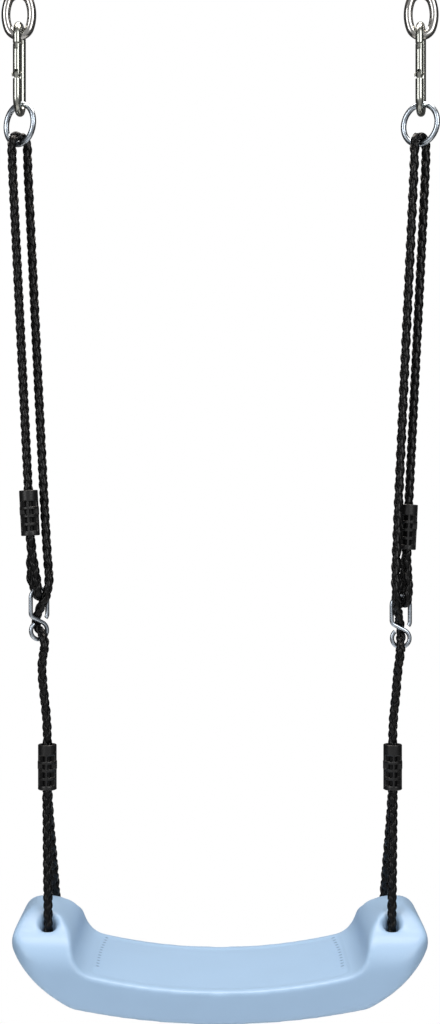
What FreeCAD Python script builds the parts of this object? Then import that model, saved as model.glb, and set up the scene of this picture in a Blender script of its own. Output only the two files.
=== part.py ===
import FreeCAD, Part
import math
import os
from FreeCAD import Vector

# A child's swing: a moulded seat hung from two plaited ropes. Each rope has a hanger link, a
# sprung snap hook, a welded ring and an S-shaped height adjuster.
# Millimetres. +X is to the right as seen from the front, -Y is the front, +Z is up.
# The origin is midway between the two points where the hanger links bear on the beam's hooks.

ROPE_D = 9.5
GAP = 0.3

LINK_X = 213.2
LINK_WIRE = 9.5
LINK_WIDTH = 37.0
LINK_INNER_HEIGHT = 34.5
LINK_END_R = 12.0

SWAY_GAP = 0.9
HOOK_WIRE = 8.6
HOOK_BEND_R = 14.0
HOOK_TOP_Z = -LINK_INNER_HEIGHT - LINK_WIRE / 2 + (LINK_WIRE + HOOK_WIRE) / 2 + SWAY_GAP
HOOK_BOTTOM_Z = -120.3
GATE_TOP_Z = -52.5
PIN_Z = -84.0
PIN_D = 3.0
TONGUE = 3.4
PIN_PLAY = 0.05
PIN_HEAD = 0.6
PIN_HEAD_R = 2.3
CHEEK_SLOT = 3.9
NOSE_TONGUE = 2.6
CATCH_LENGTH = 6.0
CATCH_DEPTH = 5.0
CATCH_PLAY = 0.4
BORE_R = 1.9
BORE_DEPTH = 16.0
SPRING_LENGTH = 14.0

RING_WIRE = 6.0
RING_R = 21.0
RING_TURN = -40.0
RING_Z = HOOK_BOTTOM_Z + HOOK_WIRE / 2 + SWAY_GAP + RING_WIRE / 2 - RING_R
LEG_SPREAD = 11.0

ADJUSTER_WIRE = 4.5
UPPER_LOOP_R = 9.6
UPPER_LOOP_Z = 24.0
LOWER_LOOP_R = 9.3
LOWER_LOOP_Z = -10.8

FERRULE_D = 20.5
FERRULE_NECK_D = 18.3
FERRULE_LENGTH = 48.0
FERRULE_COLLAR = 10.5
FERRULE_MOUTH_D = 14.0
FERRULE_MOUTH_DEPTH = 3.0
LEG_PITCH = 5.0

LOWER_FERRULE_X = 183.0
LOWER_FERRULE_TOP = -790.0

SEAT_HALF_LENGTH = 215.0
SEAT_HALF_DEPTH = 82.0
SEAT_CORNER_R = 38.0
SEAT_BOTTOM_Z = -1061.0
SEAT_TOP_Z = -1027.0
SEAT_TOP_R = 572.0
CROWN_Z = -952.5
CROWN_EDGE_Z = -1007.0
SEAT_BOTTOM_R = 720.0
HOLE_X = 177.0
HOLE_Y = 43.5
HOLE_D = 16.0
UNDER_ROPE_Z = -1024.0
CORNER_CUT = 12.0
GROOVE_ROOF = 12.0
GROOVE_WIDTH = 13.0

# What differs between the two sides: turns about +Z in degrees, and where each adjuster sits.
# threading is the rope's route through the adjuster, from above it, in front of its top, behind
# its crossing bar and in front of its lower loop. eye is the small loop's route round its top.
# Both are measured from the adjuster's centre, along its plane, out of it and up.
SIDES = {
    "left": {
        "sign": -1,
        "hook_x": -212.6,
        "hook_turn": -3.0,
        "ring_x": -212.3,
        "adjuster": (-191.8, -658.8),
        "adjuster_turn": 32.0,
        "threading": [
            (7.4, -2.4, 73.8), (7.1, -19.6, 32.7), (-1.2, 14.1, -2.0),
            (3.1, -12.2, -18.7), (0.8, -3.2, -45.5),
        ],
        "eye": [(-6.7, -11.1, 37.8), (-7.2, -11.4, 27.0), (2.0, 5.6, 24.8), (-6.2, 9.3, 41.0)],
        "ferrule": (-202.2, -7.0, -521.0),
    },
    "right": {
        "sign": 1,
        "hook_x": 212.8,
        "hook_turn": -13.0,
        "ring_x": 212.3,
        "adjuster": (191.6, -667.0),
        "adjuster_turn": 0.0,
        "threading": [
            (-6.0, -6.4, 74.8), (-7.6, -19.9, 31.4), (1.7, 14.8, -1.3),
            (-1.6, -14.9, -21.5), (-4.0, -4.3, -46.3),
        ],
        "eye": [(7.7, -9.6, 38.5), (4.5, -9.5, 25.4), (0.1, 6.0, 25.5), (2.4, 9.6, 39.4)],
        "ferrule": (200.6, 4.5, -536.0),
    },
}


def put(shape, turn, place):
    """The shape turned about +Z through the origin, then moved to place."""
    moved = shape.copy()
    moved.rotate(Vector(0, 0, 0), Vector(0, 0, 1), turn)
    moved.translate(Vector(*place))
    return moved


def turned(point, turn, place):
    """A point moved in the same way as put moves a shape."""
    a = math.radians(turn)
    x = point[0] * math.cos(a) - point[1] * math.sin(a)
    y = point[0] * math.sin(a) + point[1] * math.cos(a)
    return (x + place[0], y + place[1], point[2] + place[2])


def bent_line(points, radii):
    """Straight runs between the points, joined by tangent arcs with one radius for each inner point."""
    p = [Vector(*q) for q in points]
    edges = []
    start = p[0]
    for here, after, radius in zip(p[1:-1], p[2:], radii):
        into = (here - start).normalize()
        out = (after - here).normalize()
        turn = into.getAngle(out)
        reach = radius * math.tan(turn / 2)
        first = here - into * reach
        last = here + out * reach
        inward = (out - into).normalize()
        middle = here + inward * (radius / math.cos(turn / 2) - radius)
        edges.append(Part.LineSegment(start, first).toShape())
        edges.append(Part.Arc(first, middle, last).toShape())
        start = last
    edges.append(Part.LineSegment(start, p[-1]).toShape())
    return Part.Wire(edges)


def swept(wire, diameter):
    """A round bar along the wire."""
    first = wire.Edges[0]
    start = first.valueAt(first.FirstParameter)
    ahead = first.tangentAt(first.FirstParameter)
    ring = Part.Wire([Part.makeCircle(diameter / 2, start, ahead)])
    return wire.makePipeShell([ring], True, False)


def free_radii(points):
    """The arc radius at each inner point of a route that nothing bends: 0.45 of the shorter run
    divided by the tangent of half the turn."""
    radii = []
    for a, b, c in zip(points, points[1:], points[2:]):
        into = Vector(*b) - Vector(*a)
        out = Vector(*c) - Vector(*b)
        shorter = min(into.Length, out.Length)
        radii.append(0.45 * shorter / math.tan(into.getAngle(out) / 2))
    return radii


def rope(name, points, radii):
    """A rope's tube through the points, with one arc radius for each inner point."""
    wire = bent_line(points, radii)
    solid = swept(wire, ROPE_D)
    expected = math.pi * ROPE_D ** 2 / 4 * wire.Length
    print(name, "length", round(wire.Length, 1), "volume ratio", round(solid.Volume / expected, 4),
          "radii", [round(r, 1) for r in radii])
    return solid


def closed_link(width, inner_height, wire, end_r):
    """An oval of round wire in the XZ plane, drawn with four arcs. The top of its opening is at
    the origin."""
    half_width = (width - wire) / 2
    half_height = (inner_height + wire) / 2
    up = half_height - end_r
    side_r = (half_width ** 2 + up ** 2 - end_r ** 2) / (2 * (half_width - end_r))
    in_from_side = side_r - half_width
    lean = math.atan2(up, in_from_side)
    x = end_r * math.cos(lean)
    z = up + end_r * math.sin(lean)
    middle = wire / 2 - half_height

    def at(u, v):
        return Vector(u, 0, middle + v)

    edges = [
        Part.Arc(at(-x, z), at(0, half_height), at(x, z)).toShape(),
        Part.Arc(at(x, z), at(half_width, 0), at(x, -z)).toShape(),
        Part.Arc(at(x, -z), at(0, -half_height), at(-x, -z)).toShape(),
        Part.Arc(at(-x, -z), at(-half_width, 0), at(-x, z)).toShape(),
    ]
    return swept(Part.Wire(edges), wire)


def snap_hook():
    """The hook in the YZ plane, centred on the Z axis, its gate side towards -Y."""
    r = HOOK_BEND_R
    top = HOOK_TOP_Z - r
    bottom = HOOK_BOTTOM_Z + r
    nose = GATE_TOP_Z + 1.5
    heel = PIN_Z - HOOK_WIRE / 2 - 0.6
    edges = [
        Part.LineSegment(Vector(0, -r, nose), Vector(0, -r, top)).toShape(),
        Part.Arc(Vector(0, -r, top), Vector(0, 0, HOOK_TOP_Z), Vector(0, r, top)).toShape(),
        Part.LineSegment(Vector(0, r, top), Vector(0, r, bottom)).toShape(),
        Part.Arc(Vector(0, r, bottom), Vector(0, 0, HOOK_BOTTOM_Z), Vector(0, -r, bottom)).toShape(),
        Part.LineSegment(Vector(0, -r, bottom), Vector(0, -r, heel)).toShape(),
    ]
    bar = swept(Part.Wire(edges), HOOK_WIRE)
    half = HOOK_WIRE / 2
    across = Vector(1, 0, 0)
    trim = 0.5
    tongue_at = Vector(-TONGUE / 2, -r - half + trim, heel - trim)
    tongue = Part.makeBox(TONGUE, 2 * (half - trim), PIN_Z - heel + trim, tongue_at)
    knuckle = Part.makeCylinder(half - trim, TONGUE, Vector(-TONGUE / 2, -r, PIN_Z), across)
    catch_at = Vector(-NOSE_TONGUE / 2, -r - CATCH_DEPTH / 2, nose - CATCH_LENGTH + trim)
    catch = Part.makeBox(NOSE_TONGUE, CATCH_DEPTH, CATCH_LENGTH, catch_at)
    eye = Part.makeCylinder(PIN_D / 2 + PIN_PLAY, TONGUE + 2, Vector(-TONGUE / 2 - 1, -r, PIN_Z), across)
    return bar.fuse([tongue, knuckle, catch]).cut(eye).removeSplitter()


def gate():
    """The sprung bar, forked over the tongue below and slotted for the nose above."""
    r = HOOK_BEND_R
    half = HOOK_WIRE / 2
    bar = Part.makeCylinder(half, GATE_TOP_Z - PIN_Z, Vector(0, -r, PIN_Z))
    end = Part.makeSphere(half, Vector(0, -r, PIN_Z))
    front = -r - 1.5 * half
    fork_at = Vector(-CHEEK_SLOT / 2, front, PIN_Z - half - 1)
    fork = Part.makeBox(CHEEK_SLOT, 3 * half, 2 * half + 1, fork_at)
    slot_width = NOSE_TONGUE + 2 * CATCH_PLAY
    slot_at = Vector(-slot_width / 2, front, GATE_TOP_Z - CATCH_LENGTH)
    slot = Part.makeBox(slot_width, 3 * half, CATCH_LENGTH + 1, slot_at)
    bore = Part.makeCylinder(BORE_R, BORE_DEPTH, Vector(0, -r, PIN_Z + half - 0.5))
    eye = Part.makeCylinder(PIN_D / 2 + PIN_PLAY, 4 * half, Vector(-2 * half, -r, PIN_Z), Vector(1, 0, 0))
    return bar.fuse(end).cut(Part.makeCompound([fork, slot, bore, eye])).removeSplitter()


def gate_pin():
    """The rivet through the gate's cheeks and the hook's tongue, with a low head each side."""
    half = HOOK_WIRE / 2
    across = Vector(1, 0, 0)
    proud = 0.4
    start = Vector(-half - proud, -HOOK_BEND_R, PIN_Z)
    shank = Part.makeCylinder(PIN_D / 2, 2 * (half + proud), start, across)
    heads = [
        Part.makeCylinder(PIN_HEAD_R, PIN_HEAD, Vector(x, -HOOK_BEND_R, PIN_Z), across)
        for x in (-half - PIN_HEAD - 0.3, half + 0.3)
    ]
    return shank.fuse(heads).removeSplitter()


def gate_spring():
    """The close-wound coil in the gate's bore, as a thin sleeve."""
    base = Vector(0, -HOOK_BEND_R, PIN_Z + HOOK_WIRE / 2 + GAP)
    coil = Part.makeCylinder(BORE_R - GAP, SPRING_LENGTH, base)
    return coil.cut(Part.makeCylinder(BORE_R - 1.0, SPRING_LENGTH, base))


def adjuster_hook():
    """S-shaped wire in the XZ plane: a long upper loop and a round lower one, each nearly closed."""
    low = Vector(0, 0, LOWER_LOOP_Z)
    high = Vector(0, 0, UPPER_LOOP_Z)

    def on(centre, radius, degrees):
        a = math.radians(degrees)
        return centre + Vector(radius * math.cos(a), 0, radius * math.sin(a))

    leave = 62.0
    corner_r = 6.0
    a = math.radians(leave)
    across = Vector(-math.sin(a), 0, math.cos(a))
    off = on(low, LOWER_LOOP_R, leave)
    corner = off + across * ((off.x + UPPER_LOOP_R) / math.sin(a))
    reach = corner_r * math.tan(a / 2)
    bend_in = corner - across * reach
    bend_out = corner + Vector(0, 0, reach)
    inward = (Vector(0, 0, 1) - across).normalize()
    bend_mid = corner + inward * (corner_r / math.cos(a / 2) - corner_r)
    right = Vector(UPPER_LOOP_R, 0, 0)
    tip_turn = math.radians(42.0)
    tip_start = right + Vector(0, 0, 6.5)

    def on_tip(angle):
        return tip_start + Vector(corner_r * (math.cos(angle) - 1), 0, -corner_r * math.sin(angle))

    edges = [
        Part.Arc(on(low, LOWER_LOOP_R, 130), on(low, LOWER_LOOP_R, 270), off).toShape(),
        Part.LineSegment(off, bend_in).toShape(),
        Part.Arc(bend_in, bend_mid, bend_out).toShape(),
        Part.LineSegment(bend_out, high - right).toShape(),
        Part.Arc(high - right, high + Vector(0, 0, UPPER_LOOP_R), high + right).toShape(),
        Part.LineSegment(high + right, tip_start).toShape(),
        Part.Arc(tip_start, on_tip(tip_turn / 2), on_tip(tip_turn)).toShape(),
    ]
    return swept(Part.Wire(edges), ADJUSTER_WIRE)


def ferrule():
    """A ribbed barrel hanging from the origin, with a sunk mouth at the top for the rope."""
    neck = FERRULE_NECK_D / 2
    rib = FERRULE_D / 2
    slots = 4
    pitch = (FERRULE_LENGTH - FERRULE_COLLAR) / slots
    groove = 0.42 * pitch
    collar = rib - 0.4
    corners = [(0, 0), (collar - 0.4, 0), (collar, -1), (collar, -FERRULE_COLLAR)]
    for n in range(slots):
        z = -FERRULE_COLLAR - n * pitch
        corners += [(neck, z), (neck, z - groove), (rib, z - groove), (rib, z - pitch)]
    corners += [(0, -FERRULE_LENGTH), (0, 0)]
    outline = [Vector(x, 0, z) for x, z in corners]
    clean = [p for p, q in zip(outline, outline[1:]) if (p - q).Length > 1e-6] + [outline[-1]]
    barrel = Part.Face(Part.makePolygon(clean)).revolve(Vector(0, 0, 0), Vector(0, 0, 1), 360)
    depth = FERRULE_MOUTH_DEPTH
    mouth = Part.makeCylinder(FERRULE_MOUTH_D / 2, depth + 1, Vector(0, 0, -depth))
    return barrel.cut(mouth)


def seat_profile():
    """The seat's outline from the front, as a closed wire in the XZ plane."""
    def rise(x, radius):
        return x * x / (2 * radius)

    end = 150.0
    flat = 133.0
    low = SEAT_BOTTOM_Z
    right = [
        ((end, low + rise(end, SEAT_BOTTOM_R)), (188.0, -1018.5), (SEAT_HALF_LENGTH - 1, -989.0)),
        ((SEAT_HALF_LENGTH - 1, -989.0), (SEAT_HALF_LENGTH - 7, -967.0), (193.0, -954.0)),
        ((193.0, -954.0), (181.0, -954.5), (167.0, -961.0)),
        ((167.0, -961.0), (156.0, -972.0), (149.5, -988.0)),
        ((149.5, -988.0), (144.5, -1001.5), (flat, SEAT_TOP_Z + rise(flat, SEAT_TOP_R))),
    ]
    edges = []
    for a, b, c in right:
        for s in (1, -1):
            edges.append(Part.Arc(*[Vector(s * q[0], 0, q[1]) for q in (a, b, c)]).toShape())
    flat_z = SEAT_TOP_Z + rise(flat, SEAT_TOP_R)
    top = [(-flat, flat_z), (0, SEAT_TOP_Z), (flat, flat_z)]
    bottom = [(-end, low + rise(end, SEAT_BOTTOM_R)), (0, low), (end, low + rise(end, SEAT_BOTTOM_R))]
    for three in (top, bottom):
        edges.append(Part.Arc(*[Vector(q[0], 0, q[1]) for q in three]).toShape())
    return Part.Wire(Part.__sortEdges__(edges))


def seat_plan():
    """The seat seen from above: a rectangle with round corners, as a tall solid."""
    box = Part.makeBox(2 * SEAT_HALF_LENGTH, 2 * SEAT_HALF_DEPTH, 130,
                       Vector(-SEAT_HALF_LENGTH, -SEAT_HALF_DEPTH, -1080))
    upright = [e for e in box.Edges if abs(e.tangentAt(e.FirstParameter).z) > 0.9]
    return box.makeFillet(SEAT_CORNER_R, upright)


def seat_section():
    """The seat seen from the end, long enough to cut the seat with: crowned top, rounded shoulders."""
    d = SEAT_HALF_DEPTH
    shoulder = (54.0, -974.0)
    edge = (d, CROWN_EDGE_Z)
    round_off = (72.5, -985.5)
    upper = [
        ((-edge[0], edge[1]), (-round_off[0], round_off[1]), (-shoulder[0], shoulder[1])),
        ((-shoulder[0], shoulder[1]), (0.0, CROWN_Z), shoulder),
        (shoulder, round_off, edge),
    ]
    x = -SEAT_HALF_LENGTH - 5
    edges = [Part.Arc(*[Vector(x, q[0], q[1]) for q in three]).toShape() for three in upper]
    low = SEAT_BOTTOM_Z - 16
    corners = [Vector(x, y, z) for y, z in ((d, CROWN_EDGE_Z), (d, low), (-d, low), (-d, CROWN_EDGE_Z))]
    edges += [Part.LineSegment(a, b).toShape() for a, b in zip(corners, corners[1:])]
    face = Part.Face(Part.Wire(Part.__sortEdges__(edges)))
    return face.extrude(Vector(-2 * x, 0, 0))


def seat():
    """The moulded seat: a shallow curved board with a raised block at each end."""
    wide = SEAT_HALF_DEPTH + 5
    profile = seat_profile()
    profile.translate(Vector(0, -wide, 0))
    body = Part.Face(profile).extrude(Vector(0, 2 * wide, 0))
    body = body.common(seat_plan()).common(seat_section())
    cuts = []
    for x in (-HOLE_X, HOLE_X):
        for y in (-HOLE_Y, HOLE_Y):
            cuts.append(Part.makeCylinder(HOLE_D / 2, 120, Vector(x, y, -1075)))
            cuts.append(Part.makeCone(HOLE_D / 2, HOLE_D / 2 + 2.5, 24, Vector(x, y, -982)))
        groove_at = Vector(x - GROOVE_WIDTH / 2, -HOLE_Y, SEAT_BOTTOM_Z - 10)
        height = UNDER_ROPE_Z + GROOVE_ROOF - groove_at.z
        cuts.append(Part.makeBox(GROOVE_WIDTH, 2 * HOLE_Y, height, groove_at))
    return body.cut(Part.makeCompound(cuts))


def adjuster_points(side, which):
    """A route near the adjuster, from its own measures to the swing's."""
    x, z = side["adjuster"]
    return [turned(p, side["adjuster_turn"], (x, 0, z)) for p in side[which]]


def main_route(side):
    """The long rope, from the upper ferrule over the ring and through the adjuster to the lower
    ferrule, with the arc radius at each inner point."""
    s = side["sign"]
    a = math.radians(RING_TURN)
    across = (-math.sin(a) * LEG_SPREAD, math.cos(a) * LEG_SPREAD)
    x = side["ring_x"]
    arch = RING_Z - RING_R + RING_WIRE / 2 + ROPE_D / 2 + GAP
    outer = (x + s * across[0], s * across[1])
    inner = (x - s * across[0], -s * across[1])
    low = s * LOWER_FERRULE_X
    points = [
        ferrule_point(side, 0, -FERRULE_MOUTH_DEPTH),
        (outer[0], outer[1], arch - 24),
        (outer[0], outer[1], arch),
        (inner[0], inner[1], arch),
        (inner[0], inner[1], arch - 24),
    ]
    points += adjuster_points(side, "threading")
    mouth = LOWER_FERRULE_TOP - FERRULE_MOUTH_DEPTH
    points += [(low + s * 3.5, -0.4, mouth + 55), (low, 0, mouth + 25), (low, 0, mouth)]
    radii = free_radii(points)
    radii[1] = radii[2] = LEG_SPREAD - 0.1
    radii[6] = radii[7] = 8.5
    return points, radii


def along(a, b, share):
    """The point that lies this share of the way from a to b."""
    return tuple(p + (q - p) * share for p, q in zip(a, b))


def main_rope(name, side):
    """The long rope as three tubes: over the ring, through the adjuster, and down to the ferrule."""
    points, radii = main_route(side)
    above = along(points[5], points[6], 0.5)
    below = along(points[8], points[9], 0.42)
    return {
        "ring_rope": rope(name + " ring rope", points[:6] + [above], radii[:5]),
        "hook_rope": rope(name + " hook rope", [above] + points[6:9] + [below], radii[5:8]),
        "lower_rope": rope(name + " lower rope", [below] + points[9:], radii[8:]),
    }


def ferrule_axis(side):
    """The direction up the upper ferrule, along the rope's outer leg."""
    s = side["sign"]
    a = math.radians(RING_TURN)
    leg_top = Vector(side["ring_x"] - s * math.sin(a) * LEG_SPREAD, s * math.cos(a) * LEG_SPREAD,
                     RING_Z - RING_R - 16.0)
    return (leg_top - Vector(*side["ferrule"])).normalize()


def ferrule_point(side, across, along_axis):
    """A point on the upper ferrule: up its axis from its top, and across it towards the back."""
    axis = ferrule_axis(side)
    back = (Vector(0, 1, 0) - axis * axis.y).normalize()
    point = Vector(*side["ferrule"]) + axis * along_axis + back * across
    return (point.x, point.y, point.z)


def eye_points(side):
    """The small loop from the upper ferrule round the top of the adjuster hook."""
    start = [ferrule_point(side, -LEG_PITCH, -FERRULE_LENGTH - down) for down in (0, 10)]
    back = [ferrule_point(side, LEG_PITCH, -FERRULE_LENGTH - down) for down in (10, 0)]
    return start + adjuster_points(side, "eye") + back


def rope_eye(name, side):
    """The eye's tube, bent round the adjuster's wire."""
    points = eye_points(side)
    radii = free_radii(points)
    radii[2] = radii[3] = 7.8
    return rope(name + " rope eye", points, radii)


def seat_loop(name, side):
    """The loop through the seat: down the front hole, along the groove and up the rear hole."""
    s = side["sign"]
    x = s * LOWER_FERRULE_X
    bottom = LOWER_FERRULE_TOP - FERRULE_LENGTH
    hole = s * HOLE_X
    points = [
        (x, -LEG_PITCH, bottom),
        (x, -LEG_PITCH, bottom - 12),
        (hole, -HOLE_Y, -976.0),
        (hole, -HOLE_Y, UNDER_ROPE_Z + CORNER_CUT),
        (hole, -HOLE_Y + CORNER_CUT, UNDER_ROPE_Z),
        (hole, HOLE_Y - CORNER_CUT, UNDER_ROPE_Z),
        (hole, HOLE_Y, UNDER_ROPE_Z + CORNER_CUT),
        (hole, HOLE_Y, -976.0),
        (x, LEG_PITCH, bottom - 12),
        (x, LEG_PITCH, bottom),
    ]
    return rope(name + " seat loop", points, free_radii(points))


def side_parts(name, side):
    """Every piece of one side, by node name."""
    s = side["sign"]
    hook_place = (side["hook_x"], 0, 0)
    link = closed_link(LINK_WIDTH, LINK_INNER_HEIGHT, LINK_WIRE, LINK_END_R)
    ring = Part.makeTorus(RING_R, RING_WIRE / 2, Vector(0, 0, 0), Vector(0, -1, 0))
    x, z = side["adjuster"]
    upper = ferrule()
    upper.Placement = FreeCAD.Placement(
        Vector(*side["ferrule"]), FreeCAD.Rotation(Vector(0, 0, 1), ferrule_axis(side)))
    lower = ferrule()
    lower.translate(Vector(s * LOWER_FERRULE_X, 0, LOWER_FERRULE_TOP))
    parts = {
        "hanger_link": put(link, 0, (s * LINK_X, 0, 0)),
        "snap_hook": put(snap_hook(), side["hook_turn"], hook_place),
        "gate": put(gate(), side["hook_turn"], hook_place),
        "gate_pin": put(gate_pin(), side["hook_turn"], hook_place),
        "gate_spring": put(gate_spring(), side["hook_turn"], hook_place),
        "ring": put(ring, RING_TURN, (side["ring_x"], 0, RING_Z)),
        "upper_ferrule": upper,
        "rope_eye": rope_eye(name, side),
        "adjuster_hook": put(adjuster_hook(), side["adjuster_turn"], (x, 0, z)),
        "lower_ferrule": lower,
        "seat_loop": seat_loop(name, side),
    }
    parts.update(main_rope(name, side))
    return {name + "_" + part: shape for part, shape in parts.items()}


def main():
    parts = {"seat": seat()}
    for name, side in SIDES.items():
        parts.update(side_parts(name, side))
    os.makedirs("parts", exist_ok=True)
    for name, shape in parts.items():
        solids = len(shape.Solids)
        print(name, "solids", solids, "valid", shape.isValid(), "volume", round(shape.Volume, 1))
        shape.exportStep(os.path.join("parts", name + ".step"))


main()
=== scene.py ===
import math

import bmesh
import bpy
import numpy as np
from mathutils import Matrix, Vector


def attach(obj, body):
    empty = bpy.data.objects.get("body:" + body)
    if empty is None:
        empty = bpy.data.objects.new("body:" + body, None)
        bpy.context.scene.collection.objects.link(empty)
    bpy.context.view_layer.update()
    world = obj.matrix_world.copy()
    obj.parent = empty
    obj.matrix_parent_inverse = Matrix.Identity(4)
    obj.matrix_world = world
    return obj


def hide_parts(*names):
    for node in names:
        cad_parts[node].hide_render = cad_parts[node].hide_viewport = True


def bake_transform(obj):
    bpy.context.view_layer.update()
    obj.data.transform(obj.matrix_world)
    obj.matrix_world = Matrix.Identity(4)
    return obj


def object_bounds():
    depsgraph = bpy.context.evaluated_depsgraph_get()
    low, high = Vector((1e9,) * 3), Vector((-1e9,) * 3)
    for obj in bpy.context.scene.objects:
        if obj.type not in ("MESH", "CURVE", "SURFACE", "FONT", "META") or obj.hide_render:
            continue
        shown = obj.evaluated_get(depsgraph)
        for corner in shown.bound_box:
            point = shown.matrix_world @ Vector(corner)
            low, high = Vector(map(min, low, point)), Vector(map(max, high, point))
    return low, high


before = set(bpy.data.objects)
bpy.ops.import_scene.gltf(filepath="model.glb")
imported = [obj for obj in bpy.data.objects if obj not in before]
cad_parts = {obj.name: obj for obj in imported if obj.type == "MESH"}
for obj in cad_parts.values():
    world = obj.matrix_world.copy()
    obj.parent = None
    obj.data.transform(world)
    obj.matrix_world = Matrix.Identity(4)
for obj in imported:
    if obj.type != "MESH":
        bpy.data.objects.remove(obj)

# A playground swing. Everything is in metres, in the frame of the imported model.
CAD_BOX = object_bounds()
SIDES = ("left", "right")
SIGN = {"left": -1, "right": 1}
UP = Vector((0, 0, 1))

CAMERA_DISTANCE = 1.600
CAMERA_HEIGHT = -0.544
LENS_MM = 53.07
FLOOR_DROP = 0.42
FLOOR_RADIUS = 1.1

STRANDS_EACH_WAY = 2
PLAIT_PITCH = 0.034
PLAIT_R = 0.0026
PLAIT_WAVE = 0.0010
STRAND_HALF_WIDTH = 0.0030
STRAND_HALF_THICK = 0.0018
STRAND_SIDES = 14
CORE_R = 0.0024
ROPE_STEP = 0.0013

FERRULE_TOP_R = 0.00985
FERRULE_LENGTH = 0.048
FERRULE_MOUTH_R = 0.0070
FERRULE_MOUTH_DEPTH = 0.003
FERRULE_SIDES = 112
FERRULE_ROWS = 150
SLOT_DEPTH = 0.0040
SLOT_EASE = 0.0006
SLOTS = [(0.0115, 0.0052), (0.0200, 0.0050), (0.0285, 0.0054), (0.0372, 0.0054)]
SLOTTED_LENGTH = (0.008, 0.045)

SEAT_VOXEL = 0.0021
SOFTEN_ROUNDS = 14
SOFTEN_SHARE = 0.6
PANEL_X = 0.132
PANEL_FRONT = -0.070
PANEL_BACK = 0.070
PANEL_DEPTH = 0.0008
PANEL_CORNER = 0.012
PANEL_EDGE = 0.0012
PITS_X = 0.1275
PITS_BOW = 0.6
PITS_PITCH = 0.0095
PITS_MIDDLE_Y = 0.012
PITS_HALF_SPAN = 0.058
PITS_LOWEST_Z = -1.045
PIT_R = 0.0022
PIT_DEPTH = 0.0006
# Painted shade: the colour the seat's pits are multiplied by, standing in for the shade that falls inside
# them.
PIT_PAINTED_SHADE = (0.50, 0.55, 0.62, 1)

# The ropes' routes, as the model has them: over the ring and through the adjuster, the small
# eye on the adjuster, and the loop through the seat.
MAIN_ROUTE = {
    "left": [
        (-0.2021, -0.0070, -0.5240), (-0.2166, -0.0082, -0.2270), (-0.2194, -0.0084, -0.1700),
        (-0.2194, -0.0084, -0.1460), (-0.2052, 0.0084, -0.1460), (-0.2052, 0.0084, -0.1700),
        (-0.2023, 0.0075, -0.2270), (-0.1843, 0.0019, -0.5850), (-0.1778, -0.0135, -0.6255),
        (-0.2003, 0.0113, -0.6608), (-0.1827, -0.0087, -0.6775), (-0.1894, -0.0023, -0.7043),
        (-0.1865, -0.0004, -0.7380), (-0.1830, 0.0000, -0.7680), (-0.1830, 0.0000, -0.7930),
    ],
    "right": [
        (0.2004, 0.0045, -0.5390), (0.2165, 0.0078, -0.2270), (0.2194, 0.0084, -0.1700),
        (0.2194, 0.0084, -0.1460), (0.2052, -0.0084, -0.1460), (0.2052, -0.0084, -0.1700),
        (0.2026, -0.0081, -0.2270), (0.1856, -0.0064, -0.5922), (0.1840, -0.0199, -0.6356),
        (0.1933, 0.0148, -0.6683), (0.1900, -0.0149, -0.6885), (0.1876, -0.0043, -0.7133),
        (0.1865, -0.0004, -0.7380), (0.1830, 0.0000, -0.7680), (0.1830, 0.0000, -0.7930),
    ],
}
EYE_ROUTE = {
    "left": [
        (-0.1999, -0.0118, -0.5690), (-0.1994, -0.0118, -0.5790), (-0.1916, -0.0130, -0.6210),
        (-0.1919, -0.0135, -0.6318), (-0.1931, 0.0058, -0.6340), (-0.2020, 0.0046, -0.6178),
        (-0.1994, -0.0018, -0.5789), (-0.1999, -0.0018, -0.5689),
    ],
    "right": [
        (0.1981, -0.0010, -0.5839), (0.1976, -0.0011, -0.5939), (0.1993, -0.0096, -0.6285),
        (0.1961, -0.0095, -0.6416), (0.1917, 0.0060, -0.6415), (0.1940, 0.0096, -0.6276),
        (0.1976, 0.0089, -0.5940), (0.1981, 0.0090, -0.5840),
    ],
}
LOOP_ROUTE = {
    side: [
        (SIGN[side] * 0.183, -0.0050, -0.8380), (SIGN[side] * 0.183, -0.0050, -0.8500),
        (SIGN[side] * 0.177, -0.0435, -0.9760), (SIGN[side] * 0.177, -0.0435, -1.0120),
        (SIGN[side] * 0.177, -0.0315, -1.0240), (SIGN[side] * 0.177, 0.0315, -1.0240),
        (SIGN[side] * 0.177, 0.0435, -1.0120), (SIGN[side] * 0.177, 0.0435, -0.9760),
        (SIGN[side] * 0.183, 0.0050, -0.8500), (SIGN[side] * 0.183, 0.0050, -0.8380),
    ]
    for side in SIDES
}
ADJUSTER_EXIT_Z = -0.690
LOOP_PLAIT_START = 0.004


# ---------------------------------------------------------------- camera, floor and light

def look_from(obj, place, target):
    """Put an object at place, its -Z axis towards target."""
    obj.location = place
    obj.rotation_euler = (Vector(target) - Vector(place)).to_track_quat("-Z", "Y").to_euler()


def add_camera():
    data = bpy.data.cameras.new("camera")
    data.lens = LENS_MM
    data.sensor_width = 36.0
    data.sensor_fit = "AUTO"
    camera = bpy.data.objects.new("camera", data)
    bpy.context.scene.collection.objects.link(camera)
    look_from(camera, (0, -CAMERA_DISTANCE, CAMERA_HEIGHT), (0, 0, CAMERA_HEIGHT))
    bpy.context.scene.camera = camera


def add_area(name, place, target, size, watts, colour=(1, 1, 1)):
    data = bpy.data.lights.new(name, "AREA")
    data.shape = "RECTANGLE"
    data.size, data.size_y = size
    data.energy = watts
    data.color = colour
    light = bpy.data.objects.new(name, data)
    bpy.context.scene.collection.objects.link(light)
    look_from(light, place, target)


def add_lights():
    middle = (0, 0, -0.6)
    add_area("key light", (1.1, -1.6, 0.5), middle, (0.9, 1.6), 21)
    add_area("fill light", (-1.5, -1.5, 0.1), middle, (0.7, 1.6), 17)
    add_area("top light", (0.0, 0.2, 0.9), (0, 0, -1.0), (1.3, 0.8), 37, (1.0, 0.93, 0.86))


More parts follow.
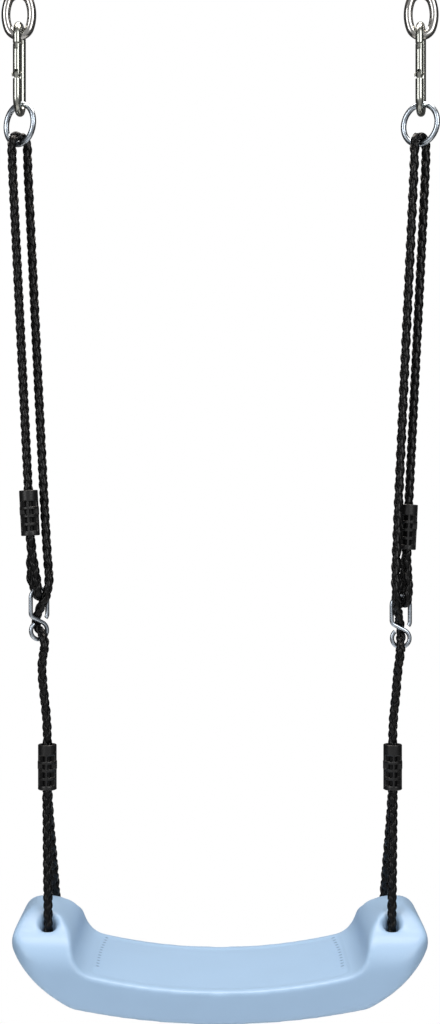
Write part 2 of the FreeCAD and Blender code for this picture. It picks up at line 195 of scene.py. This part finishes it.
def add_world():
    """A studio's soft surroundings: pale ahead and behind, darker at the sides."""
    world = bpy.data.worlds.new("studio")
    bpy.context.scene.world = world
    world.use_nodes = True
    tree = world.node_tree
    tree.nodes.clear()
    out = tree.nodes.new("ShaderNodeOutputWorld")
    place = tree.nodes.new("ShaderNodeTexCoord")
    split = tree.nodes.new("ShaderNodeSeparateXYZ")
    ramp = tree.nodes.new("ShaderNodeValToRGB")
    scale = tree.nodes.new("ShaderNodeMapRange")
    scale.inputs["From Min"].default_value = -1
    stops = [(0.0, 0.45), (0.14, 0.40), (0.30, 0.12), (0.5, 0.04), (0.80, 0.06), (1.0, 0.12)]
    grey = ramp.color_ramp.elements
    for n, (at, level) in enumerate(stops):
        stop = grey[n] if n < 2 else grey.new(at)
        stop.position = at
        stop.color = (level, level, level, 1)
    surroundings = tree.nodes.new("ShaderNodeBackground")
    seen = tree.nodes.new("ShaderNodeBackground")
    seen.inputs["Color"].default_value = (1, 1, 1, 1)
    ray = tree.nodes.new("ShaderNodeLightPath")
    mix = tree.nodes.new("ShaderNodeMixShader")
    tree.links.new(place.outputs["Generated"], split.inputs[0])
    tree.links.new(split.outputs["Y"], scale.inputs["Value"])
    tree.links.new(scale.outputs["Result"], ramp.inputs["Fac"])
    tree.links.new(ramp.outputs["Color"], surroundings.inputs["Color"])
    tree.links.new(ray.outputs["Is Camera Ray"], mix.inputs["Fac"])
    tree.links.new(surroundings.outputs[0], mix.inputs[1])
    tree.links.new(seen.outputs[0], mix.inputs[2])
    tree.links.new(mix.outputs[0], out.inputs["Surface"])


def add_floor():
    mesh = bpy.data.meshes.new("floor")
    bm = bmesh.new()
    bmesh.ops.create_circle(bm, cap_ends=True, radius=FLOOR_RADIUS, segments=96)
    bm.to_mesh(mesh)
    bm.free()
    floor = bpy.data.objects.new("floor", mesh)
    bpy.context.scene.collection.objects.link(floor)
    floor.location = (0, 0, CAD_BOX[0][2] - FLOOR_DROP)
    mesh.materials.append(plastic("floor paint", (0.86, 0.86, 0.85), 0.8, 0.02, 0.0001))


# ---------------------------------------------------------------- materials

def shader(name):
    """A new material, with its tree, its Principled shader and an object-space coordinate."""
    made = bpy.data.materials.new(name)
    made.use_nodes = True
    tree = made.node_tree
    surface = tree.nodes["Principled BSDF"]
    place = tree.nodes.new("ShaderNodeTexCoord")
    return made, tree, surface, place


def noise(tree, vector, scale, detail=4.0, rough=0.55):
    made = tree.nodes.new("ShaderNodeTexNoise")
    made.inputs["Scale"].default_value = scale
    made.inputs["Detail"].default_value = detail
    made.inputs["Roughness"].default_value = rough
    tree.links.new(vector, made.inputs["Vector"])
    return made.outputs["Fac"]


def spread(tree, value, low, high):
    """A 0 to 1 value, stretched about its middle to run from low to high."""
    made = tree.nodes.new("ShaderNodeMapRange")
    made.inputs["From Min"].default_value = 0.25
    made.inputs["From Max"].default_value = 0.75
    made.inputs["To Min"].default_value = low
    made.inputs["To Max"].default_value = high
    tree.links.new(value, made.inputs["Value"])
    return made.outputs["Result"]


def tint(tree, value, dark, light):
    made = tree.nodes.new("ShaderNodeMix")
    made.data_type = "RGBA"
    made.inputs["A"].default_value = (*dark, 1)
    made.inputs["B"].default_value = (*light, 1)
    tree.links.new(value, made.inputs["Factor"])
    return made.outputs["Result"]


def bump(tree, height, distance, strength=1.0, below=None):
    made = tree.nodes.new("ShaderNodeBump")
    made.inputs["Distance"].default_value = distance
    made.inputs["Strength"].default_value = strength
    tree.links.new(height, made.inputs["Height"])
    if below is not None:
        tree.links.new(below, made.inputs["Normal"])
    return made.outputs["Normal"]


def plastic(name, colour, roughness, variation, peel):
    """Moulded plastic: faint mottling, fine orange peel and a little uneven gloss."""
    made, tree, surface, place = shader(name)
    point = place.outputs["Object"]
    cloud = noise(tree, point, 14.0, 3.0)
    grain = noise(tree, point, 900.0, 2.0)
    fine = noise(tree, point, 2600.0, 2.0)
    dark = tuple(c * (1 - variation) for c in colour)
    light = tuple(min(1.0, c * (1 + variation)) for c in colour)
    tree.links.new(tint(tree, spread(tree, cloud, 0, 1), dark, light), surface.inputs["Base Color"])
    tree.links.new(spread(tree, grain, roughness - 0.05, roughness + 0.06), surface.inputs["Roughness"])
    first = bump(tree, grain, peel)
    tree.links.new(bump(tree, fine, peel * 0.4, 1.0, first), surface.inputs["Normal"])
    return made


def arithmetic(tree, kind, first, second=0.0):
    """One maths node. Each input is a number or another node's output."""
    made = tree.nodes.new("ShaderNodeMath")
    made.operation = kind
    for slot, value in zip(made.inputs, (first, second)):
        if isinstance(value, (int, float)):
            slot.default_value = value
        else:
            tree.links.new(value, slot)
    return made.outputs[0]


def dotted_lines(material):
    """Add a row of small moulded pits across the seat at each end of its panel, bumped in, with painted
    shade darkening their colour.
    """
    tree = material.node_tree
    surface = tree.nodes["Principled BSDF"]
    place = tree.nodes.new("ShaderNodeTexCoord")
    split = tree.nodes.new("ShaderNodeSeparateXYZ")
    tree.links.new(place.outputs["Object"], split.inputs[0])
    x, y, z = split.outputs
    beside = arithmetic(tree, "SUBTRACT", arithmetic(tree, "ABSOLUTE", x), PITS_X)
    bow = arithmetic(tree, "MULTIPLY", arithmetic(tree, "MULTIPLY", y, y), PITS_BOW)
    beside = arithmetic(tree, "ADD", beside, bow)
    step = arithmetic(tree, "PINGPONG", y, PITS_PITCH / 2)
    reach = arithmetic(tree, "MULTIPLY", beside, beside)
    reach = arithmetic(tree, "ADD", reach, arithmetic(tree, "MULTIPLY", step, step))
    inside = tree.nodes.new("ShaderNodeMapRange")
    inside.inputs["From Min"].default_value = PIT_R
    inside.inputs["From Max"].default_value = PIT_R * 0.5
    tree.links.new(arithmetic(tree, "SQRT", reach), inside.inputs["Value"])
    upward = arithmetic(tree, "GREATER_THAN", z, PITS_LOWEST_Z)
    from_middle = arithmetic(tree, "ABSOLUTE", arithmetic(tree, "SUBTRACT", y, PITS_MIDDLE_Y))
    span = arithmetic(tree, "LESS_THAN", from_middle, PITS_HALF_SPAN)
    pit = arithmetic(tree, "MULTIPLY", inside.outputs["Result"], arithmetic(tree, "MULTIPLY", upward, span))
    # Painted shade: the base colour is multiplied darker inside each pit, where shade would fall.
    before = surface.inputs["Base Color"].links[0].from_socket
    painted_shade_mix = tree.nodes.new("ShaderNodeMix")
    painted_shade_mix.data_type = "RGBA"
    painted_shade_mix.blend_type = "MULTIPLY"
    painted_shade_mix.inputs["B"].default_value = PIT_PAINTED_SHADE
    tree.links.new(pit, painted_shade_mix.inputs["Factor"])
    tree.links.new(before, painted_shade_mix.inputs["A"])
    tree.links.new(painted_shade_mix.outputs["Result"], surface.inputs["Base Color"])
    below = surface.inputs["Normal"].links[0].from_socket
    sunk = arithmetic(tree, "SUBTRACT", 1.0, pit)
    tree.links.new(bump(tree, sunk, PIT_DEPTH, 1.0, below), surface.inputs["Normal"])


def steel(name, colour, roughness, wear):
    """Bare or plated steel: drawn wire with slightly uneven colour and polish, and faint scratches."""
    made, tree, surface, place = shader(name)
    point = place.outputs["Object"]
    surface.inputs["Metallic"].default_value = 1.0
    cloud = noise(tree, point, 60.0, 5.0, 0.65)
    scratch = noise(tree, point, 1800.0, 3.0, 0.7)
    spots = noise(tree, point, 420.0, 4.0, 0.6)
    dark = tuple(c * (1 - wear) for c in colour)
    tree.links.new(tint(tree, spread(tree, cloud, 0, 1), dark, colour), surface.inputs["Base Color"])
    tree.links.new(spread(tree, spots, roughness * 0.8, roughness * 1.3), surface.inputs["Roughness"])
    dents = noise(tree, point, 90.0, 1.0)
    first = bump(tree, dents, 0.00006)
    tree.links.new(bump(tree, scratch, 0.000002, 1.0, first), surface.inputs["Normal"])
    return made


def rope_fibre(name):
    """Black plaited yarn: fibres that run along each strand with a slight twist."""
    made, tree, surface, place = shader(name)
    turn = tree.nodes.new("ShaderNodeMapping")
    turn.inputs["Scale"].default_value = (22.0, 50.0, 1.0)
    turn.inputs["Rotation"].default_value = (0, 0, 0.35)
    tree.links.new(place.outputs["UV"], turn.inputs["Vector"])
    fibres = noise(tree, turn.outputs["Vector"], 1.0, 4.0, 0.7)
    fuzz = noise(tree, place.outputs["Object"], 2400.0, 3.0)
    dirt = noise(tree, place.outputs["Object"], 30.0, 3.0)
    tree.links.new(tint(tree, spread(tree, fibres, 0, 1), (0.0012, 0.0012, 0.0014), (0.004, 0.004, 0.0044)),
                   surface.inputs["Base Color"])
    tree.links.new(spread(tree, dirt, 0.20, 0.30), surface.inputs["Roughness"])
    surface.inputs["Specular IOR Level"].default_value = 0.24
    first = bump(tree, fibres, 0.00020)
    tree.links.new(bump(tree, fuzz, 0.00002, 1.0, first), surface.inputs["Normal"])
    return made


# ---------------------------------------------------------------- ropes

def spline_line(points):
    """The smooth line of a route, as points read from its NURBS spline."""
    data = bpy.data.curves.new("route", "CURVE")
    data.dimensions = "3D"
    data.resolution_u = 24
    spline = data.splines.new("NURBS")
    spline.points.add(len(points) - 1)
    for slot, point in zip(spline.points, points):
        slot.co = (*point, 1)
    spline.order_u = 3
    spline.use_endpoint_u = True
    carrier = bpy.data.objects.new("route", data)
    bpy.context.scene.collection.objects.link(carrier)
    bpy.context.view_layer.update()
    mesh = bpy.data.meshes.new_from_object(carrier.evaluated_get(bpy.context.evaluated_depsgraph_get()))
    line = np.array([v.co for v in mesh.vertices])
    bpy.data.objects.remove(carrier)
    bpy.data.curves.remove(data)
    bpy.data.meshes.remove(mesh)
    return line


def even(line, step):
    """The same line with its points about a step apart, and the distance along it of each."""
    gaps = np.linalg.norm(np.diff(line, axis=0), axis=1)
    run = np.concatenate([[0], np.cumsum(gaps)])
    along = np.linspace(0, run[-1], max(3, int(run[-1] / step)))
    return np.stack([np.interp(along, run, line[:, k]) for k in range(3)], axis=1), along


def carried_frames(line):
    """Two directions across the line at each point, carried along it without twist."""
    ahead = np.gradient(line, axis=0)
    ahead /= np.linalg.norm(ahead, axis=1)[:, None]
    across = np.cross(ahead[0], (0.0, 1.0, 0.0))
    across /= np.linalg.norm(across)
    first = [across]
    for direction in ahead[1:]:
        across = across - direction * (across @ direction)
        across /= np.linalg.norm(across)
        first.append(across)
    first = np.array(first)
    return first, np.cross(ahead, first)


def strand_tube(centre, wide, thick, half_width, half_thick, along, shift):
    """One strand's vertices, faces and fibre coordinates, round its centre line."""
    angles = np.linspace(0, 2 * math.pi, STRAND_SIDES, endpoint=False)
    across = np.cos(angles)[None, :, None] * wide[:, None, :] * half_width
    outward = np.sin(angles)[None, :, None] * thick[:, None, :] * half_thick
    vertices = (centre[:, None, :] + across + outward).reshape(-1, 3)
    faces, uvs = [], []
    for n in range(len(centre) - 1):
        lower, upper = along[n] * 10 + shift, along[n + 1] * 10 + shift
        for k in range(STRAND_SIDES):
            after = (k + 1) % STRAND_SIDES
            low, high = n * STRAND_SIDES, (n + 1) * STRAND_SIDES
            faces.append((low + k, low + after, high + after, high + k))
            u, v = k / STRAND_SIDES, (k + 1) / STRAND_SIDES
            uvs += [(u, lower), (v, lower), (v, upper), (u, upper)]
    last = (len(centre) - 1) * STRAND_SIDES
    faces.append(tuple(reversed(range(STRAND_SIDES))))
    faces.append(tuple(last + k for k in range(STRAND_SIDES)))
    uvs += [(0, 0)] * (2 * STRAND_SIDES)
    return vertices, faces, uvs


def plaited_rope(name, line, start_at, fibre):
    """A plaited rope along the line, of thick strands laid over and under each other. start_at is
    the distance at which its plait begins."""
    gaps = np.linalg.norm(np.diff(line, axis=0), axis=1)
    along = start_at + np.concatenate([[0], np.cumsum(gaps)])
    first, second = carried_frames(line)
    turn = 2 * math.pi * along / PLAIT_PITCH
    wave = PLAIT_WAVE * np.sin(STRANDS_EACH_WAY * turn)
    tubes = [strand_tube(line, first, second, CORE_R, CORE_R, along, 0.0)]
    for strand in range(2 * STRANDS_EACH_WAY):
        way = 1 if strand < STRANDS_EACH_WAY else -1
        begin = 2 * math.pi * (strand % STRANDS_EACH_WAY + (0 if way > 0 else 0.5)) / STRANDS_EACH_WAY
        angle = begin + way * turn
        outward = np.cos(angle)[:, None] * first + np.sin(angle)[:, None] * second
        centre = line + outward * (PLAIT_R + way * wave)[:, None]
        ahead = np.gradient(centre, axis=0)
        ahead /= np.linalg.norm(ahead, axis=1)[:, None]
        wide = np.cross(ahead, outward)
        wide /= np.linalg.norm(wide, axis=1)[:, None]
        shift = 0.37 * len(tubes)
        tubes.append(strand_tube(centre, wide, outward, STRAND_HALF_WIDTH, STRAND_HALF_THICK, along, shift))
    vertices, faces, uvs = [], [], []
    for tube, quads, places in tubes:
        base = len(vertices)
        vertices += [tuple(v) for v in tube]
        faces += [tuple(base + k for k in quad) for quad in quads]
        uvs += places
    mesh = bpy.data.meshes.new(name)
    mesh.from_pydata(vertices, [], faces)
    layer = mesh.uv_layers.new(name="fibres")
    layer.data.foreach_set("uv", np.array(uvs, np.float32).ravel())
    mesh.polygons.foreach_set("use_smooth", [True] * len(faces))
    mesh.materials.append(fibre)
    rope = bpy.data.objects.new(name, mesh)
    bpy.context.scene.collection.objects.link(rope)
    return rope


def add_ropes(side, fibre):
    """One side's ropes: the long one and its low end, the adjuster's eye and the seat's loop."""
    line, along = even(spline_line(MAIN_ROUTE[side]), ROPE_STEP)
    out = next(n for n in range(len(line) // 2, len(line)) if line[n][2] < ADJUSTER_EXIT_Z)
    long_line, low_line = line[:out + 1], line[out:]
    long_rope = plaited_rope(side + "_long_rope", long_line, 0.0, fibre)
    low_rope = plaited_rope(side + "_low_rope", low_line, along[out], fibre)
    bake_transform(long_rope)
    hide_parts(side + "_ring_rope", side + "_hook_rope")
    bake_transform(low_rope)
    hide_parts(side + "_lower_rope")
    eye_line, _ = even(spline_line(EYE_ROUTE[side]), ROPE_STEP)
    eye = plaited_rope(side + "_eye", eye_line, 0.0, fibre)
    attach(eye, side + "_adjuster")
    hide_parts(side + "_rope_eye")
    loop_line, _ = even(spline_line(LOOP_ROUTE[side]), ROPE_STEP)
    loop = plaited_rope(side + "_loop", loop_line, LOOP_PLAIT_START, fibre)
    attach(loop, "seat")
    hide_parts(side + "_seat_loop")


# ---------------------------------------------------------------- ferrules

def ease(value, low, high):
    """0 below low, 1 above high, and smooth between."""
    t = min(1.0, max(0.0, (value - low) / (high - low)))
    return t * t * (3 - 2 * t)


def raised(down, top, bottom, edge):
    """1 between two depths down the barrel, 0 outside them, with soft edges."""
    return ease(down, top, top + edge) - ease(down, bottom, bottom + edge)


def ferrule_radius(angle, down):
    """The barrel's radius: a plain collar, a proud band below it, and slots in its front and back."""
    band = raised(down, 0.0172, 0.0256, 0.0008)
    foot = raised(down, 0.0455, 0.0470, 0.0010)
    radius = FERRULE_TOP_R + 0.0004 * band + 0.0001 * foot - 0.0007 * (1 - ease(down, 0.0, 0.0006))
    radius -= 0.0009 * ease(down, 0.0474, FERRULE_LENGTH)
    facing = abs(math.sin(angle))
    window = ease(facing, 0.46, 0.54) * (1 - ease(facing, 0.984, 0.995))
    slot = sum(raised(down, top, top + height, SLOT_EASE) for top, height in SLOTS)
    panel = raised(down, 0.0106, 0.0440, 0.0006)
    return radius - window * (0.0004 * panel + SLOT_DEPTH * slot)


def add_ferrule(name, place, axis, body, node, finish, inside):
    """A clamped plastic barrel with an open mouth, built round the rope that its slots show."""
    bm = bmesh.new()
    rings = []
    mouth = [
        (FERRULE_MOUTH_R, FERRULE_MOUTH_DEPTH),
        (FERRULE_MOUTH_R, 0.0010),
        (FERRULE_MOUTH_R + 0.0004, 0.0002),
    ]
    angles = [2 * math.pi * k / FERRULE_SIDES for k in range(FERRULE_SIDES)]
    for radius, down in mouth:
        rings.append([bm.verts.new((radius * math.cos(a), radius * math.sin(a), -down)) for a in angles])
    for down in np.linspace(0, FERRULE_LENGTH, FERRULE_ROWS):
        ring = []
        for a in angles:
            r = ferrule_radius(a, down)
            ring.append(bm.verts.new((r * math.cos(a), r * math.sin(a), -down)))
        rings.append(ring)
    for above, below in zip(rings, rings[1:]):
        for k in range(FERRULE_SIDES):
            after = (k + 1) % FERRULE_SIDES
            bm.faces.new((above[after], above[k], below[k], below[after]))
    highest, lowest = SLOTTED_LENGTH
    for face in bm.faces:
        spot = face.calc_center_median()
        inner = math.hypot(spot.x, spot.y) < FERRULE_TOP_R - 0.6 * SLOT_DEPTH
        face.material_index = 1 if inner and highest < -spot.z < lowest else 0
    bm.faces.new(rings[0])
    bm.faces.new(list(reversed(rings[-1])))
    mesh = bpy.data.meshes.new(name)
    bmesh.ops.recalc_face_normals(bm, faces=bm.faces)
    bm.to_mesh(mesh)
    bm.free()
    mesh.polygons.foreach_set("use_smooth", [True] * len(mesh.polygons))
    turn = UP.rotation_difference(axis).to_matrix().to_4x4()
    mesh.transform(Matrix.Translation(place) @ turn)
    mesh.materials.append(finish)
    mesh.materials.append(inside)
    barrel = bpy.data.objects.new(name, mesh)
    bpy.context.scene.collection.objects.link(barrel)
    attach(barrel, body)
    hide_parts(node)


# ---------------------------------------------------------------- seat

def linked_copy(name, node):
    """A new object with its own copy of a CAD node's mesh."""
    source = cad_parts[node]
    mesh = source.data.copy()
    mesh.transform(source.matrix_world)
    mesh.materials.clear()
    made = bpy.data.objects.new(name, mesh)
    bpy.context.scene.collection.objects.link(made)
    return made


def apply_modifiers(obj):
    bpy.context.view_layer.update()
    final = bpy.data.meshes.new_from_object(obj.evaluated_get(bpy.context.evaluated_depsgraph_get()))
    obj.modifiers.clear()
    obj.data = final


def soften(mesh, rounds):
    """Round the edges of a fine even mesh by moving each vertex towards its neighbours' mean."""
    count = len(mesh.vertices)
    co = np.empty(count * 3)
    mesh.vertices.foreach_get("co", co)
    co = co.reshape(-1, 3)
    ends = np.empty(len(mesh.edges) * 2, int)
    mesh.edges.foreach_get("vertices", ends)
    a, b = ends.reshape(-1, 2).T
    valence = np.bincount(a, minlength=count) + np.bincount(b, minlength=count)
    for _ in range(rounds):
        sums = [np.bincount(a, co[b, k], count) + np.bincount(b, co[a, k], count) for k in range(3)]
        co = co + SOFTEN_SHARE * (np.stack(sums, 1) / valence[:, None] - co)
    mesh.vertices.foreach_set("co", co.ravel())
    mesh.update()


def vertex_arrays(mesh):
    count = len(mesh.vertices)
    co, normal = np.empty(count * 3), np.empty(count * 3)
    mesh.vertices.foreach_get("co", co)
    mesh.vertex_normals.foreach_get("vector", normal)
    return co.reshape(-1, 3), normal.reshape(-1, 3)


def press_panel(mesh):
    """Sink the top's grip panel a little below the seat's rim."""
    co, normal = vertex_arrays(mesh)
    middle = (PANEL_FRONT + PANEL_BACK) / 2
    half = (PANEL_BACK - PANEL_FRONT) / 2
    dx = np.abs(co[:, 0]) - (PANEL_X - PANEL_CORNER)
    dy = np.abs(co[:, 1] - middle) - (half - PANEL_CORNER)
    outside = np.hypot(np.maximum(dx, 0), np.maximum(dy, 0)) + np.minimum(np.maximum(dx, dy), 0)
    t = np.clip((PANEL_CORNER - outside + PANEL_EDGE) / (2 * PANEL_EDGE), 0, 1)
    depth = PANEL_DEPTH * t * t * (3 - 2 * t) * (normal[:, 2] > 0.5)
    co[:, 2] -= depth
    mesh.vertices.foreach_set("co", co.ravel())
    mesh.update()


def add_seat(finish):
    """The seat with soft moulded edges, made from its solid."""
    seat = linked_copy("moulded_seat", "seat")
    remesh = seat.modifiers.new("remesh", "REMESH")
    remesh.mode = "VOXEL"
    remesh.voxel_size = SEAT_VOXEL
    apply_modifiers(seat)
    soften(seat.data, SOFTEN_ROUNDS)
    press_panel(seat.data)
    seat.data.polygons.foreach_set("use_smooth", [True] * len(seat.data.polygons))
    seat.data.materials.append(finish)
    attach(seat, "seat")
    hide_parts("seat")


# ---------------------------------------------------------------- finishes on the steel parts

def finish_node(node, material):
    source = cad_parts[node]
    if source.material_slots:
        for held in source.material_slots:
            held.material = material
    else:
        source.data.materials.append(material)


def main():
    add_camera()
    fibre = rope_fibre("black plaited yarn")
    for side in SIDES:
        add_ropes(side, fibre)
    add_lights()
    add_world()
    add_floor()
    bpy.context.scene.view_settings.view_transform = "Standard"
    barrel = plastic("black moulded plastic", (0.005, 0.005, 0.0055), 0.38, 0.15, 0.00006)
    zinc = steel("zinc plated steel", (0.52, 0.58, 0.65), 0.27, 0.15)
    polished = steel("polished steel", (0.47, 0.48, 0.44), 0.21, 0.15)
    bright = steel("bright steel", (0.56, 0.55, 0.53), 0.17, 0.10)
    finishes = {
        "hanger_link": bright, "snap_hook": polished, "gate": polished, "gate_pin": polished,
        "gate_spring": zinc, "ring": zinc, "adjuster_hook": zinc,
    }
    for side in SIDES:
        for node, material in finishes.items():
            finish_node(side + "_" + node, material)
        route = MAIN_ROUTE[side]
        lean = (Vector(route[1]) - Vector(route[0])).normalized()
        top = Vector(route[0]) + lean * FERRULE_MOUTH_DEPTH
        add_ferrule(side + "_upper_barrel", top, lean, side + "_adjuster", side + "_upper_ferrule",
                    barrel, fibre)
        top = Vector(route[-1]) + UP * FERRULE_MOUTH_DEPTH
        add_ferrule(side + "_lower_barrel", top, UP, side + "_drop", side + "_lower_ferrule",
                    barrel, fibre)
    blue = plastic("powder blue plastic", (0.372, 0.545, 0.765), 0.42, 0.02, 0.00005)
    dotted_lines(blue)
    add_seat(blue)


main()
